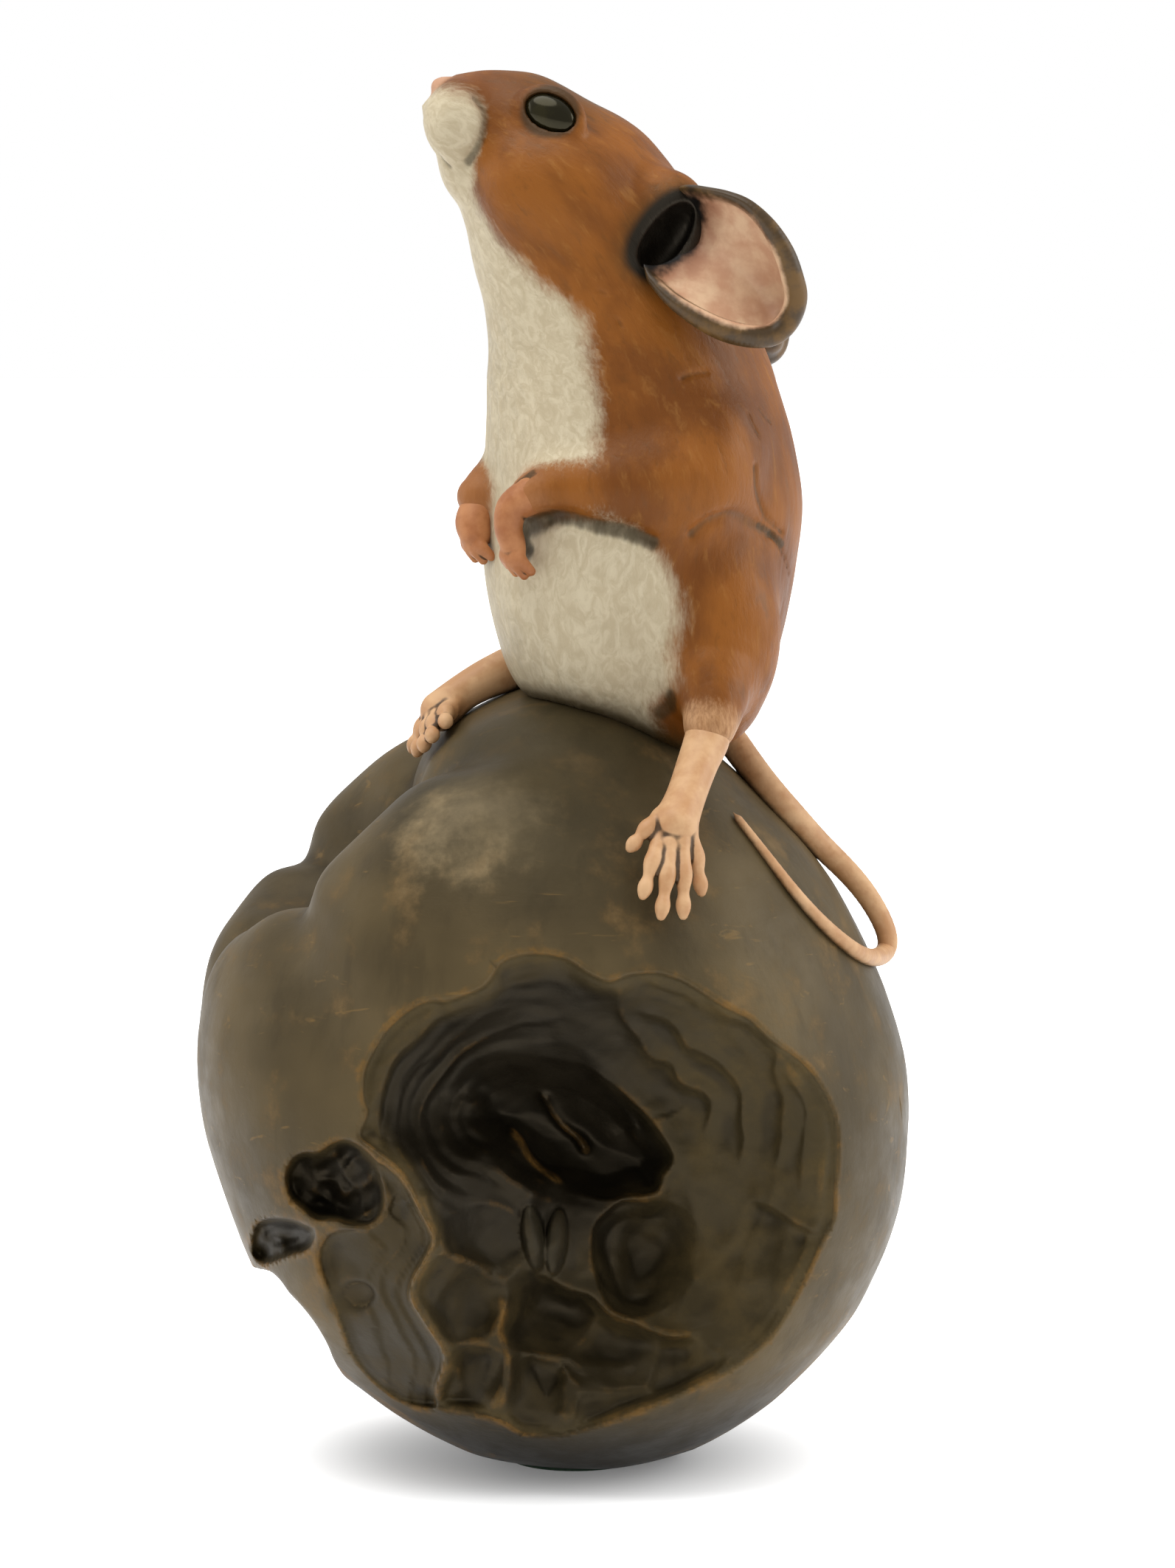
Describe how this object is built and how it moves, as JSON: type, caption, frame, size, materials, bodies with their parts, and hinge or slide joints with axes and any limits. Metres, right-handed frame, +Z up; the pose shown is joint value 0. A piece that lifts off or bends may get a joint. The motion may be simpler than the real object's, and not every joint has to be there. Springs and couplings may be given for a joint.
{
  "type": "mouse figurine",
  "caption": "Cast, hand-coloured ornament of a wood mouse sitting up on a gnawed, hollowed apple and looking up",
  "frame": {"origin": "middle of the overall box, on the surface the piece stands on", "axes": "+Z up through the mouse's head, -Y towards the viewer and the gnawed hollow, +X to the viewer's right"},
  "size_m": [0.0817, 0.0759, 0.1605],
  "materials": {
    "dark_patina": "satin",
    "fur_paint": "satin",
    "skin_paint": "satin",
    "eye_gloss": "gloss",
    "fixing_brass": "satin",
    "felt": "matte"
  },
  "bodies": {
    "root": {"apple_shell": "dark_patina", "hollow_lining": "dark_patina", "seed_core": "dark_patina", "pip_left": "dark_patina", "pip_right": "dark_patina", "mouse_body": "fur_paint", "ear_left": "skin_paint", "ear_right": "skin_paint", "forepaw_left": "skin_paint", "forepaw_right": "skin_paint", "hind_foot_left": "skin_paint", "hind_foot_right": "skin_paint", "tail": "skin_paint", "tail_pin": "fixing_brass", "eye_left": "eye_gloss", "eye_right": "eye_gloss", "fixing_stud": "fixing_brass", "fixing_washer": "fixing_brass", "fixing_nut": "fixing_brass", "base_pad": "felt"}
  },
  "joints": []
}
